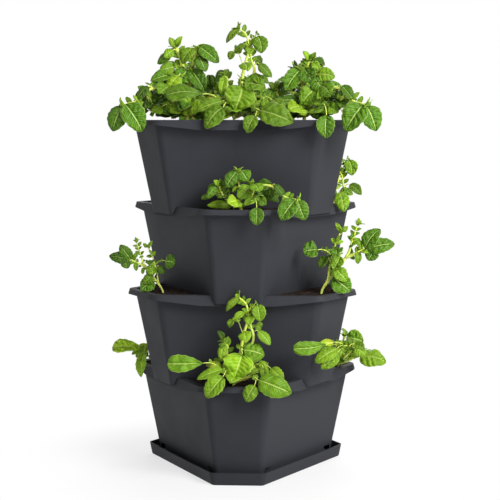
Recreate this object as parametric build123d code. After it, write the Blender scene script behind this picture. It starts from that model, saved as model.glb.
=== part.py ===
from build123d import *
import os
from math import cos, radians, sin, sqrt

# A potato tower: a drip tray, four planter boxes that stack at 60 degrees to one another,
# the soil in each box and the potato plants that grow from the corners left open.
# Sizes are in millimetres. +Z is up and the front is -Y. The origin is on the ground,
# on the axis of the stack.

# Planter box. Its plan is a triangle with cut corners: three long sides and three short ones.
TIERS = 4
BOX_HEIGHT = 216
BOX_TOP_LONG = 189        # axis to the outside of a long side, at the rim
CORNER_WIDTH_TOP = 141    # length of a short side, at the rim
CORNER_WIDTH_FLOOR = 104  # length of a short side, at the floor
CORNER_RADIUS_TOP = 26
CORNER_RADIUS_FLOOR = 12
WALL = 3
FLOOR = 3
DRAIN_DIAMETER = 8
DRAIN_RINGS = (60, 110)   # radii of the two rings of drain holes
DRAINS_PER_RING = 6

# Rim: a flat flange with a flared skirt, deeper along the long sides than at the corners.
FLANGE = 13
RIM = 3
SKIRT_FLARE = 6.5
SKIRT_DROP = 23
SKIRT_DROP_CORNER = 11.5
SKIRT_RAMP = 56.5         # width over which the skirt gains its depth beside a corner

# Stacking: the corners of a box straddle the middle of the long rims below.
NEST_DEPTH = 18           # the floor of a box lies this far below the rim that carries it
NEST_GAP = 1              # from the step of a corner to the wall inside it
APRON_GAP = 2             # from the skirt to the corner wall that hangs outside it
SLOT_GAP = 1.5            # from the flange to the side of the slot that it passes through

# Drip tray
TRAY_HEIGHT = 30
TRAY_SEAT = 15            # top of the ribs, where the lowest box stands
TRAY_MARGIN_SHORT = 22    # tray outside the box, at a short side, on the ground
TRAY_MARGIN_LONG = 16
TRAY_FLARE = 6
TRAY_CORNER_RADIUS = 12
TRAY_EDGE_RADIUS = 5
TRAY_WALL = 3
TRAY_FLOOR = 3
RIB_WIDTH = 6
RIB_START = 25            # axis to the near end of a rib
RIB_LENGTH = 135

# Soil
SOIL_BELOW_RIM = 6
SOIL_GAP = 0.3

# Plants
PLANT_REACH = 45          # from a stem at a rim to the outer edge of that rim
STEM_RADIUS = 4
STEM_TAPER = 0.82         # each run of a stem over the one below it
STEM_ROOT = 0.5           # of its radius: how far a run reaches back into the one below it
STALK_RADIUS = 1.1
STEM_SIDES = 6
LEAF_THICKNESS = 1.6
# One side of a leaf's outline: shares of its length and of its width
LEAF_SIDE = ((0, 0.1), (0.15, 0.36), (0.4, 0.5), (0.7, 0.4), (0.9, 0.17))
LEAF_BREADTH = 1.2        # width of a leaf over the width that it shows from outside
LEAF_ROOT = 1.5           # length of a leaf that lies over the end of its stalk
LEAF_FACING = (0, 1, 0.5)

# Values that follow from the sizes above
HALF_ROOT_3 = sqrt(3) / 2
PITCH = BOX_HEIGHT - NEST_DEPTH
RIM_OUT = FLANGE + SKIRT_FLARE
BOX_TOP_SHORT = 2 * BOX_TOP_LONG - CORNER_WIDTH_TOP * HALF_ROOT_3
BOX_FLOOR_SHORT = BOX_TOP_LONG + RIM_OUT + APRON_GAP + WALL
BOX_FLOOR_LONG = (BOX_FLOOR_SHORT + CORNER_WIDTH_FLOOR * HALF_ROOT_3) / 2
TRAY_SHORT = BOX_FLOOR_SHORT + TRAY_MARGIN_SHORT
TRAY_LONG = BOX_FLOOR_LONG + TRAY_MARGIN_LONG
SOIL_LEVEL = BOX_HEIGHT - SOIL_BELOW_RIM
SHELF_TOP = NEST_DEPTH + FLOOR
FRONT = -90
CORNERS = (FRONT, FRONT + 120, FRONT + 240)
BEYOND = 1                # cutters reach this far past the face that they open

# A tapered tub: (short side, long side, corner radius) at its floor and at its top, and height
BOX = (
    (BOX_FLOOR_SHORT, BOX_FLOOR_LONG, CORNER_RADIUS_FLOOR),
    (BOX_TOP_SHORT, BOX_TOP_LONG, CORNER_RADIUS_TOP),
    BOX_HEIGHT,
)
TRAY = (
    (TRAY_SHORT, TRAY_LONG, TRAY_CORNER_RADIUS),
    (TRAY_SHORT + TRAY_FLARE, TRAY_LONG + TRAY_FLARE, TRAY_CORNER_RADIUS + TRAY_FLARE),
    TRAY_HEIGHT,
)


def toward(angle):
    """Level unit vector at an angle in degrees from +X."""
    return Vector(cos(radians(angle)), sin(radians(angle)), 0)


def plan_at(tub, level):
    """Short side, long side and corner radius of a tub at a level."""
    floor, top, height = tub
    return [low + (high - low) * level / height for low, high in zip(floor, top)]


def outline(short, long, radius, level):
    """Flat triangle with cut, rounded corners. A short side faces the front."""
    corners = []
    for side in range(6):
        near, far = (short, long) if side % 2 == 0 else (long, short)
        here = toward(FRONT + 60 * side)
        after = toward(FRONT + 60 * side + 60)
        corners.append((here * (near - far / 2) + after * (far - near / 2)) / HALF_ROOT_3**2)
    flat = Polygon(*corners, align=None)
    return Pos(0, 0, level) * fillet(flat.vertices(), radius)


def tapered(tub, low, high, inset=0):
    """Solid of a tub between two levels, with its sides moved in by inset."""
    ends = []
    for level in (low, high):
        ends.append(outline(*(size - inset for size in plan_at(tub, level)), level))
    return loft(ends, ruled=True)


def corner_prism(angle, profile):
    """Bar across a corner from its profile, a list of (distance from the axis, level)."""
    out = toward(angle)
    section = Plane((0, 0, 0), x_dir=out, z_dir=out.cross(Vector(0, 0, 1)))
    return extrude(section * Polygon(*profile, align=None), BOX_TOP_SHORT, both=True)


# The step of a corner hangs just inside the long wall of the box below.
STEP_FACE = plan_at(BOX, PITCH)[1] - WALL - NEST_GAP


def shelf_block(angle, gap=0):
    """The space that the raised shelf of a corner takes from the inside of its box."""
    near = STEP_FACE - WALL - gap
    far = BOX_TOP_SHORT + RIM_OUT
    top = SHELF_TOP + gap
    return corner_prism(angle, [(near, -BEYOND), (far, -BEYOND), (far, top), (near, top)])


def rim_channel(angle):
    """The space under a shelf and the slots beside it, where the rim below passes through."""
    far = BOX_TOP_SHORT + RIM_OUT
    beyond_step = corner_prism(
        angle, [(STEP_FACE, -BEYOND), (far, -BEYOND), (far, NEST_DEPTH), (STEP_FACE, NEST_DEPTH)]
    )
    pocket = tapered(BOX, -BEYOND, NEST_DEPTH, WALL) & beyond_step
    slot_top = BOX_TOP_LONG + FLANGE + SLOT_GAP
    slot_foot = slot_top + (NEST_DEPTH + BEYOND) * SKIRT_FLARE / SKIRT_DROP
    slots = corner_prism(
        angle,
        [(STEP_FACE, -BEYOND), (slot_foot, -BEYOND), (slot_top, NEST_DEPTH), (STEP_FACE, NEST_DEPTH)],
    )
    return pocket + slots


def skirt_wave(angle):
    """What is cut from under the skirt at a corner, where it is shallow."""
    short, long, _ = plan_at(BOX, BOX_HEIGHT)
    corner_half = (2 * (long + RIM_OUT) - (short + RIM_OUT)) / HALF_ROOT_3 / 2
    shallow = BOX_HEIGHT - SKIRT_DROP_CORNER
    deep = BOX_HEIGHT - SKIRT_DROP
    below = deep - SKIRT_DROP
    wave = [
        (-corner_half - SKIRT_RAMP, deep),
        (-corner_half - SKIRT_RAMP, below),
        (corner_half + SKIRT_RAMP, below),
        (corner_half + SKIRT_RAMP, deep),
        (corner_half, shallow),
        (-corner_half, shallow),
    ]
    out = toward(angle)
    face = Plane(out * (long / 2), x_dir=Vector(0, 0, 1).cross(out), z_dir=out)
    return extrude(face * Polygon(*wave, align=None), short + long)


def rim(opening):
    """Flange and skirt round the top of a box."""
    top_plan = plan_at(BOX, BOX_HEIGHT)
    flange = extrude(outline(*(size + FLANGE for size in top_plan), BOX_HEIGHT), -RIM)
    shells = []
    for inset in (0, RIM):
        ends = []
        for drop in (0, SKIRT_DROP):
            spread = FLANGE + SKIRT_FLARE * drop / SKIRT_DROP - inset
            ends.append(outline(*(size + spread for size in top_plan), BOX_HEIGHT - drop))
        shells.append(loft(ends, ruled=True))
    skirt = shells[0] - shells[1]
    for angle in CORNERS:
        skirt -= skirt_wave(angle)
    return flange + skirt - opening


def planter_box():
    """One box with its first corner to the front, its floor at level 0."""
    opening = tapered(BOX, FLOOR, BOX_HEIGHT + BEYOND, WALL)
    inside = opening
    for angle in CORNERS:
        inside -= shelf_block(angle)
    box = tapered(BOX, 0, BOX_HEIGHT) - inside
    for angle in CORNERS:
        box -= rim_channel(angle)
    drain = Cylinder(DRAIN_DIAMETER / 2, 4 * FLOOR)
    holes = [drain]
    for ring in DRAIN_RINGS:
        for step in range(DRAINS_PER_RING):
            holes.append(Pos(*(toward(360 * step / DRAINS_PER_RING) * ring)) * drain)
    return box - holes + rim(opening)


def soil(covered):
    """Soil of one box, pressed down under the box above if there is one."""
    block = tapered(BOX, FLOOR + SOIL_GAP, SOIL_LEVEL, WALL + SOIL_GAP)
    for angle in CORNERS:
        block -= shelf_block(angle, SOIL_GAP)
    if covered:
        above = tapered(BOX, -SOIL_GAP, NEST_DEPTH + BEYOND, -SOIL_GAP)
        block -= Pos(0, 0, PITCH) * Rot(0, 0, 60) * above
    return block


def drip_tray():
    """Shallow tray with three ribs that hold the lowest box clear of the water."""
    tray = tapered(TRAY, 0, TRAY_HEIGHT)
    tray = fillet(tray.faces().sort_by(Axis.Z)[0].edges(), TRAY_EDGE_RADIUS)
    tray -= tapered(TRAY, TRAY_FLOOR, TRAY_HEIGHT + BEYOND, TRAY_WALL)
    rib = Box(RIB_LENGTH, RIB_WIDTH, TRAY_SEAT - TRAY_FLOOR, align=(Align.MIN, Align.CENTER, Align.MIN))
    for angle in CORNERS:
        tray += Rot(0, 0, angle) * Pos(RIB_START, 0, TRAY_FLOOR) * rib
    return tray


# Plant forms. Points are (right, out, up) from the foot of the stem, as seen from outside
# the tower. A stem is a list of points. A leaf is (start of its stalk, base, tip, width shown).
MAIN_STEMS = [
    [(0, 0, 0), (0, 0, 17), (15, 4, 87)],
    [(0, 0, 12), (-22, 8, 38), (-14, 6, 88), (-20, 8, 101)],
]
MAIN_LEAVES = [
    ((15, 4, 82), (18, 14, 77), (2, 30, 27), 56),
    ((15, 4, 84), (20, -10, 92), (30, -40, 84), 34),
    ((0, 0, 16), (2, 26, 25), (-5, 66, 24), 30),
    ((-20, 8, 100), (-21, 10, 100), (-28, 16, 61), 16),
]
LEFT_LEAVES = [
    ((-22, 8, 38), (-24, 34, 46), (-81, 42, 26), 20),
    ((-22, 8, 38), (-26, 24, 46), (-60, 28, 56), 17),
    ((-22, 8, 38), (-30, -8, 46), (-52, -30, 40), 28),
]
RIGHT_STEM = [[(0, 0, 10), (43, 10, 32), (45, 12, 53)]]
RIGHT_LEAVES = [
    ((15, 4, 86), (22, 6, 86), (68, 12, 77), 40),
    ((45, 12, 52), (66, 30, 50), (70, 40, 26), 14),
    ((45, 12, 53), (84, 30, 48), (112, 44, 24), 22),
    ((44, 11, 40), (58, 31, 43), (28, 35, 37), 12),
    ((43, 10, 32), (56, -6, 42), (76, -26, 38), 26),
]
STRAY_LEAF = [((-22, 8, 38), (-67, 40, 61), (-146, 48, 61), 38)]
SPREAD_LEFT = [((-16, 6, 31), (-22, 44, 36), (-60, 56, 24), 32)]
SPREAD_RIGHT = [((43, 10, 32), (58, 40, 38), (128, 58, 30), 46)]
RIM_LEAVES = [
    ((-22, 8, 38), (-42, 36, 46), (-146, 48, 46), 42),
    ((0, 0, 16), (-2, 112, 44), (0, 140, -22), 30),
]
REACHING_STEM = [[(0, 0, 14), (16, 56, 40), (34, 119, 74), (11, 204, 97)]]
REACHING_LEAVES = [
    ((11, 204, 96), (-36, 270, 108), (-118, 302, 101), 36),
    ((12, 200, 95), (-7, 224, 90), (-63, 243, 58), 30),
    ((14, 194, 94), (-4, 222, 80), (-47, 241, 40), 30),
    ((11, 204, 97), (-15, 218, 100), (-51, 229, 106), 16),
]
TALL_STEMS = [
    [(15, 4, 86), (22, 2, 123), (31, 0, 158), (27, 0, 188), (12, 2, 203)],
    [(0, 0, 15), (41, -4, 101), (37, -4, 138), (33, 0, 159)],
]
TALL_LEAVES = [
    ((43, 10, 32), (58, 51, 26), (130, 66, 0), 42),
    ((43, 10, 32), (48, 53, 14), (30, 57, -22), 26),
    ((-22, 8, 38), (-22, 51, 33), (-60, 58, -12), 34),
    ((39, -4, 122), (54, 4, 128), (82, 12, 99), 18),
    ((22, 2, 120), (24, 14, 128), (30, 46, 112), 24),
    ((37, -4, 136), (46, -10, 140), (60, -24, 130), 18),
    ((33, 0, 156), (52, 4, 188), (60, 8, 151), 26),
    ((33, 0, 157), (42, 2, 181), (57, 4, 163), 15),
    ((29, 0, 150), (22, 4, 171), (0, 8, 153), 13),
    ((21, 2, 117), (-3, 6, 155), (-11, 8, 137), 13),
    ((12, 2, 202), (10, 3, 204), (-18, 6, 174), 13),
    ((32, 0, 154), (36, 12, 160), (34, 38, 148), 18),
]
YOUNG_STEMS = [
    [(0, 0, 0), (0, 0, 12), (7, -1, 43), (16, -2, 78), (12, -2, 108), (-3, 0, 123)],
    [(0, 0, 8), (25, -4, 24), (22, -4, 58), (18, -2, 79)],
]
YOUNG_LEAVES = [
    ((0, 0, 11), (14, 90, 34), (24, 124, -8), 28),
    ((0, 0, 10), (12, 16, 26), (46, 26, 28), 24),
    ((7, -1, 42), (8, 12, 50), (4, 40, 42), 22),
    ((24, -4, 42), (39, 2, 48), (67, 8, 24), 20),
    ((18, -2, 76), (37, 2, 108), (45, 6, 71), 26),
    ((17, -2, 77), (27, 0, 101), (42, 2, 83), 15),
    ((14, -2, 70), (7, 2, 91), (-13, 6, 76), 13),
    ((15, -2, 74), (10, -12, 82), (0, -30, 74), 18),
    ((-3, 0, 122), (-5, 1, 123), (-24, 4, 98), 13),
]
BUSHY_STEMS = [
    [(0, 0, 0), (0, 0, 12), (-4, -8, 52), (-6, -6, 86)],
    [(0, 0, 10), (22, 0, 28), (23, 2, 58)],
    [(0, 0, 10), (-36, -18, 30), (-50, -20, 54)],
]
BUSHY_LEAVES = [
    ((-6, -6, 84), (-8, -4, 90), (-32, 6, 54), 24),
    ((-6, -6, 85), (0, -4, 91), (15, 6, 68), 26),
    ((-4, -8, 50), (-6, -20, 58), (-14, -44, 48), 26),
    ((23, 2, 57), (20, 6, 57), (-5, 16, 31), 26),
    ((23, 2, 55), (30, 14, 62), (44, 44, 48), 26),
    ((-50, -20, 53), (-54, -18, 55), (-76, -10, 28), 16),
    ((-47, -19, 48), (-47, -18, 57), (-62, -18, 70), 10),
    ((0, 0, 8), (-20, -20, 13), (-77, -14, 15), 18),
    ((-34, -17, 29), (-70, -22, 36), (-92, -28, 28), 11),
    ((0, 0, 11), (-8, 18, 26), (-26, 42, 22), 24),
    ((0, 0, 10), (6, 16, 17), (-10, 26, 15), 10),
    ((22, 0, 28), (32, 16, 27), (8, 26, 17), 14),
    ((22, 0, 27), (42, 18, 27), (58, 26, 18), 18),
    ((22, 0, 28), (36, -14, 36), (58, -36, 30), 26),
]
BRANCH_STEM = [[(22, 0, 28), (34, 8, 56), (70, 24, 58), (98, 36, 36), (124, 46, 30)]]
BRANCH_LEAVES = [
    ((34, 8, 55), (40, 10, 58), (70, 16, 63), 22),
    ((70, 24, 58), (77, 30, 62), (99, 37, 35), 16),
    ((34, 8, 54), (50, 4, 44), (86, 8, 24), 14),
    ((124, 46, 30), (122, 51, 30), (90, 57, -14), 34),
    ((123, 46, 30), (128, 51, 27), (144, 57, -14), 28),
]
SHORT_BRANCH_STEM = [[(22, 0, 28), (31, 8, 54), (58, 24, 58), (80, 36, 38), (102, 46, 30)]]
SHORT_BRANCH_LEAVES = [
    ((31, 8, 53), (37, 10, 57), (62, 16, 64), 22),
    ((58, 24, 58), (64, 30, 62), (84, 37, 38), 16),
    ((31, 8, 52), (46, 4, 44), (78, 8, 26), 14),
    ((102, 46, 30), (100, 51, 30), (70, 57, -14), 34),
    ((101, 46, 30), (106, 51, 27), (122, 57, -14), 28),
]
TIP_STEM = [[(-4, -8, 50), (4, -8, 86), (8, -6, 104)]]
TIP_LEAVES = [
    ((8, -6, 103), (7, -4, 107), (-2, 2, 122), 9),
    ((8, -6, 103), (11, -4, 106), (20, 2, 120), 9),
    ((7, -6, 100), (14, 0, 102), (26, 6, 92), 12),
    ((5, -8, 90), (22, 2, 82), (52, 10, 78), 20),
    ((4, -8, 84), (16, 6, 76), (32, 14, 54), 22),
]
CROWN_STEMS = [
    [(-4, -8, 50), (8, -8, 96), (18, -6, 128)],
    [(-6, -6, 84), (-16, -8, 122)],
]
CROWN_LEAVES = [
    ((18, -6, 127), (17, -4, 131), (8, 2, 148), 10),
    ((18, -6, 127), (21, -4, 130), (30, 2, 146), 10),
    ((16, -6, 122), (24, 0, 124), (38, 6, 112), 14),
    ((-16, -8, 121), (-22, -4, 130), (-56, 6, 104), 22),
    ((-16, -8, 120), (-10, -2, 128), (8, 6, 102), 20),
    ((-14, -8, 116), (-20, 2, 114), (-34, 10, 88), 20),
    ((9, -8, 98), (22, -2, 96), (46, 6, 90), 20),
    ((7, -8, 92), (26, 2, 82), (62, 10, 72), 20),
    ((4, -8, 82), (14, 6, 80), (30, 14, 58), 22),
]
HANGING_LEAF = [((22, 0, 26), (38, 54, 12), (38, 58, -26), 26)]
LEGGY_STEMS = [
    [(0, 0, 0), (0, 0, 10), (13, 0, 37), (17, 1, 69), (24, 2, 97), (40, 4, 143)],
    [(6, 0, 22), (55, -6, 87), (66, -6, 115), (74, -6, 139), (81, -6, 160)],
    [(55, -6, 86), (76, 0, 96), (98, 4, 108)],
]
LEGGY_LEAVES = [
    ((23, 2, 92), (-10, 20, 106), (-44, 26, 102), 36),
    ((17, 1, 75), (10, 8, 89), (-6, 10, 64), 18),
    ((16, 1, 66), (12, -12, 76), (-4, -34, 70), 24),
    ((40, 4, 142), (42, 6, 150), (30, 8, 168), 9),
    ((38, 4, 138), (48, 7, 147), (58, 9, 160), 9),
    ((36, 3, 133), (40, 10, 138), (30, 14, 124), 8),
    ((24, 2, 96), (42, 8, 90), (26, 16, 60), 25),
    ((25, 2, 99), (30, 18, 106), (34, 52, 96), 26),
    ((17, 1, 68), (30, 10, 60), (58, 18, 34), 27),
    ((13, 0, 37), (26, 10, 42), (66, 18, 12), 38),
    ((12, 0, 36), (8, 16, 44), (-8, 46, 36), 28),
    ((55, -6, 87), (60, -18, 94), (72, -44, 86), 24),
    ((98, 4, 108), (98, 4, 109), (131, 8, 154), 30),
    ((97, 4, 107), (104, 6, 108), (165, 12, 121), 30),
    ((96, 4, 107), (118, 8, 106), (106, 14, 82), 26),
    ((74, -6, 136), (80, -2, 128), (90, 0, 110), 11),
    ((86, 2, 102), (82, 4, 100), (82, 6, 73), 13),
    ((81, -6, 159), (81, -6, 160), (84, -4, 178), 7),
]
LOW_STEMS = MAIN_STEMS + RIGHT_STEM
BUSH_STEMS = BUSHY_STEMS + BRANCH_STEM
BUSH_LEAVES = BUSHY_LEAVES + BRANCH_LEAVES
TOP_STEMS = BUSHY_STEMS + SHORT_BRANCH_STEM
TOP_LEAVES = BUSHY_LEAVES + SHORT_BRANCH_LEAVES
FORMS = {
    "low_reaching": (LOW_STEMS + REACHING_STEM, MAIN_LEAVES + RIGHT_LEAVES + SPREAD_RIGHT + REACHING_LEAVES),
    "low_hanging": (MAIN_STEMS, MAIN_LEAVES + LEFT_LEAVES + SPREAD_LEFT + RIM_LEAVES),
    "tall": (LOW_STEMS + TALL_STEMS, MAIN_LEAVES + LEFT_LEAVES + RIGHT_LEAVES + STRAY_LEAF + TALL_LEAVES),
    "young": (YOUNG_STEMS, YOUNG_LEAVES),
    "leggy": (LEGGY_STEMS, LEGGY_LEAVES),
    "bushy": (BUSH_STEMS, BUSH_LEAVES),
    "bushy_hanging": (BUSH_STEMS, BUSH_LEAVES + HANGING_LEAF),
    "bushy_small": (BUSHY_STEMS + TIP_STEM, BUSHY_LEAVES + TIP_LEAVES),
    "bushy_tip": (TOP_STEMS + TIP_STEM, TOP_LEAVES + HANGING_LEAF + TIP_LEAVES),
    "bushy_crown": (TOP_STEMS + CROWN_STEMS, TOP_LEAVES + CROWN_LEAVES),
}

# Distance from the axis at which a stem stands PLANT_REACH inside a corner or a long side
CORNER_REACH = BOX_TOP_SHORT + RIM_OUT - PLANT_REACH
LONG_REACH = BOX_TOP_LONG + RIM_OUT - PLANT_REACH
# Each plant: tier, form, place (direction from the axis, distance that way, distance to the
# right of it), turn about Z, size, and -1 where it is mirrored
PLANTS = {
    "plant_1_front": (1, "tall", (-90, CORNER_REACH, 8), 0, 1, 1),
    "plant_1_right": (1, "low_reaching", (30, CORNER_REACH - 15.5, 85), 0, 0.88, 1),
    "plant_1_left": (1, "low_hanging", (150, CORNER_REACH, -24), -20, 0.8, 1),
    "plant_2_right": (2, "leggy", (-30, CORNER_REACH - 4, 16), 0, 1, 1),
    "plant_2_left": (2, "leggy", (210, CORNER_REACH - 10, -19), 0, 0.74, -1),
    "plant_2_back": (2, "leggy", (90, CORNER_REACH, 20), 180, 1, 1),
    "plant_3_front": (3, "bushy_hanging", (-90, CORNER_REACH, -7), 0, 1, 1),
    "plant_3_right": (3, "young", (30, CORNER_REACH - 8, 45), 0, 1, 1),
    "plant_top_centre": (TIERS, "tall", (-90, LONG_REACH, 11), 0, 1.03, 1),
    "plant_top_right": (TIERS, "bushy_tip", (-90, LONG_REACH - 24, -146), 0, 1.32, 1),
    "plant_top_left": (TIERS, "bushy_crown", (-90, LONG_REACH - 30, 122), 0, 1.32, -1),
    "plant_top_rear_right": (TIERS, "bushy_small", (30, LONG_REACH - 30, 0), 10, 1.2, 1),
    "plant_top_rear_left": (TIERS, "bushy_small", (150, LONG_REACH - 30, -18), -10, 1.2, -1),
    "plant_top_back": (TIERS, "bushy", (90, CORNER_REACH - 8, 0), 180, 1.2, 1),
}


def tier_floor(tier):
    """Level of the underside of a tier's box."""
    return TRAY_SEAT + (tier - 1) * PITCH


def turned(tier):
    """Turn of a tier's box: every other one is turned by 60 degrees."""
    return 60 * ((tier - 1) % 2)


def run(start, end, radius):
    """Six-sided bar from one point to another."""
    along = end - start
    return extrude(Plane(start, z_dir=along) * RegularPolygon(radius, STEM_SIDES), along.length)


def stem(points, size):
    """Stem of straight runs, each thinner than the one below and rooted in it."""
    runs = []
    radius = STEM_RADIUS * size
    for start, end in zip(points, points[1:]):
        root = (end - start).normalized() * (STEM_ROOT * radius if runs else 0)
        runs.append(run(start - root, end, radius))
        radius *= STEM_TAPER
    return runs


def leaf(start, base, tip, width, facing):
    """Leaf on its stalk: a thin plate that is widest near its middle."""
    along = (tip - base).normalized()
    root = base - along * LEAF_ROOT
    length = (tip - root).length
    side = [(share * length, spread * width) for share, spread in LEAF_SIDE]
    rim_points = side + [(length, 0)] + [(x, -y) for x, y in reversed(side)]
    across = facing.cross(along)
    blade = Plane(root, x_dir=along, z_dir=along.cross(across)) * Polygon(*rim_points, align=None)
    return [run(start, base, STALK_RADIUS), extrude(blade, LEAF_THICKNESS / 2, both=True)]


def plant(tier, form, place, turn, size, side):
    """One plant, standing on the soil of its tier."""
    right = toward(turn) * side
    out = toward(turn + FRONT)
    up = Vector(0, 0, 1)
    angle, distance, aside = place
    foot = toward(angle) * distance + toward(angle - 90) * aside + up * (tier_floor(tier) + SOIL_LEVEL)

    def move(point):
        across, away, rise = point
        return right * across + out * away + up * rise

    stems, leaves = FORMS[form]
    pieces = []
    for points in stems:
        pieces += stem([foot + move(point) * size for point in points], size)
    for start, base, tip, width in leaves:
        points = [foot + move(point) * size for point in (start, base, tip)]
        pieces += leaf(*points, width * size * LEAF_BREADTH, move(LEAF_FACING))
    return pieces[0].fuse(*pieces[1:])


os.makedirs("parts", exist_ok=True)
nodes = {"drip_tray": drip_tray()}
box = planter_box()
for tier in range(1, TIERS + 1):
    place = Pos(0, 0, tier_floor(tier)) * Rot(0, 0, turned(tier))
    nodes[f"planter_box_{tier}"] = place * box
    nodes[f"soil_{tier}"] = place * soil(covered=tier < TIERS)
for name, (tier, *rest) in PLANTS.items():
    nodes[name] = plant(tier, *rest)
for name, solid in nodes.items():
    export_step(solid, f"parts/{name}.step")
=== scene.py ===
import random
from math import cos, pi, radians, sin

import bpy
import numpy as np
from mathutils import Matrix, Vector, noise


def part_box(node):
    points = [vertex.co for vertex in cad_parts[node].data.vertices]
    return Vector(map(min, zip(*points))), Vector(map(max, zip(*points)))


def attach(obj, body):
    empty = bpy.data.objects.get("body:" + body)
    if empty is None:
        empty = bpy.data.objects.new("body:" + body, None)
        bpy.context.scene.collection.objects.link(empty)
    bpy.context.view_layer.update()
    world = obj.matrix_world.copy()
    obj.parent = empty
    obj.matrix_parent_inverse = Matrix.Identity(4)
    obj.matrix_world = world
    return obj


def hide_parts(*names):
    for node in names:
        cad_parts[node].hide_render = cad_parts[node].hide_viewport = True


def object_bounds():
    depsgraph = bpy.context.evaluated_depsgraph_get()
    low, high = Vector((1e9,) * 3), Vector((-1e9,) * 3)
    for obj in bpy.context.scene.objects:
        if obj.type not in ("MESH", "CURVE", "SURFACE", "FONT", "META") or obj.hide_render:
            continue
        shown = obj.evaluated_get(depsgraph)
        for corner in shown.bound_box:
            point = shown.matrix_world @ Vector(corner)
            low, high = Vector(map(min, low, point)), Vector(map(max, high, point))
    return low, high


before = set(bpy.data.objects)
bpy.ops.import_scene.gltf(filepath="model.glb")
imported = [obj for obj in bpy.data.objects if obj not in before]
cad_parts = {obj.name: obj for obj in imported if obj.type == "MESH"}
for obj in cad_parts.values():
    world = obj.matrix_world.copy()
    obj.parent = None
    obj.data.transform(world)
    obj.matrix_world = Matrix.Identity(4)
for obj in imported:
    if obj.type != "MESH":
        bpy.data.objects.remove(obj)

bl_info = {
    "name": "Potato tower",
    "version": (1, 0, 0),
    "blender": (4, 5, 0),
    "location": "View3D > Sidebar > Potato tower",
    "description": "Dresses the packed potato tower: planters, soil, plants and stage",
    "category": "Object",
}

CAD_BOX = [list(corner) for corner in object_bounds()]
MM = 0.001
UP = Vector((0, 0, 1))
TIERS = 4

# Plant forms, with the same points as the solids: (right, out, up) from the foot of the stem,
# in millimetres, as seen from outside the tower. A stem is a list of points. A leaf is the
# start of its stalk, its base, its tip, the width that it shows and its tone, from 0, deep green,
# to 1, yellow. True at the end makes it a spoon: narrow at its stalk and widest near its tip.
DEEP, FRESH, PALE, OLD, TURNED = 0.0, 0.25, 0.4, 0.55, 1.0
MAIN_STEMS = [
    [(0, 0, 0), (0, 0, 17), (15, 4, 87)],
    [(0, 0, 12), (-22, 8, 38), (-14, 6, 88), (-20, 8, 101)],
]
MAIN_LEAVES = [
    ((15, 4, 82), (18, 14, 77), (2, 30, 27), 56, PALE),
    ((15, 4, 84), (20, -10, 92), (30, -40, 84), 34, FRESH),
    ((0, 0, 16), (2, 26, 25), (-5, 66, 24), 30, FRESH),
    ((-20, 8, 100), (-21, 10, 100), (-28, 16, 61), 16, PALE),
]
LEFT_LEAVES = [
    ((-22, 8, 38), (-24, 34, 46), (-81, 42, 26), 20, FRESH),
    ((-22, 8, 38), (-26, 24, 46), (-60, 28, 56), 17, TURNED),
    ((-22, 8, 38), (-30, -8, 46), (-52, -30, 40), 28, FRESH),
]
RIGHT_STEM = [[(0, 0, 10), (43, 10, 32), (45, 12, 53)]]
RIGHT_LEAVES = [
    ((15, 4, 86), (22, 6, 86), (68, 12, 77), 40, FRESH),
    ((45, 12, 52), (66, 30, 50), (70, 40, 26), 14, PALE),
    ((45, 12, 53), (84, 30, 48), (112, 44, 24), 22, PALE),
    ((44, 11, 40), (58, 31, 43), (28, 35, 37), 12, OLD),
    ((43, 10, 32), (56, -6, 42), (76, -26, 38), 26, FRESH),
]
STRAY_LEAF = [((-22, 8, 38), (-67, 40, 61), (-146, 48, 61), 32, FRESH, True)]
SPREAD_LEFT = [((-16, 6, 31), (-22, 44, 36), (-60, 56, 24), 32, FRESH)]
SPREAD_RIGHT = [((43, 10, 32), (58, 40, 38), (128, 58, 30), 46, PALE)]
RIM_LEAVES = [
    ((-22, 8, 38), (-42, 36, 46), (-146, 48, 46), 36, OLD, True),
    ((0, 0, 16), (-2, 112, 44), (0, 140, -22), 30, PALE),
]
REACHING_STEM = [[(0, 0, 14), (16, 56, 40), (34, 119, 74), (11, 204, 97)]]
REACHING_LEAVES = [
    ((11, 204, 96), (-36, 270, 108), (-118, 302, 101), 29, FRESH, True),
    ((12, 200, 95), (-7, 224, 90), (-63, 243, 58), 30, PALE),
    ((14, 194, 94), (-4, 222, 80), (-47, 241, 40), 30, FRESH),
    ((11, 204, 97), (-15, 218, 100), (-51, 229, 106), 16, TURNED),
]
CREEPING_LEAVES = [
    ((16, 56, 40), (28, 66, 54), (54, 80, 46), 24, FRESH),
    ((20, 80, 54), (22, 90, 72), (8, 112, 84), 22, FRESH),
    ((28, 105, 66), (44, 116, 74), (72, 126, 60), 24, PALE),
    ((32, 125, 75), (34, 140, 92), (22, 160, 104), 20, PALE),
    ((26, 155, 84), (42, 166, 92), (66, 180, 80), 22, FRESH),
]
TALL_STEMS = [
    [(15, 4, 86), (22, 2, 123), (31, 0, 158), (27, 0, 188), (12, 2, 203)],
    [(0, 0, 15), (41, -4, 101), (37, -4, 138), (33, 0, 159)],
]
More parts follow.
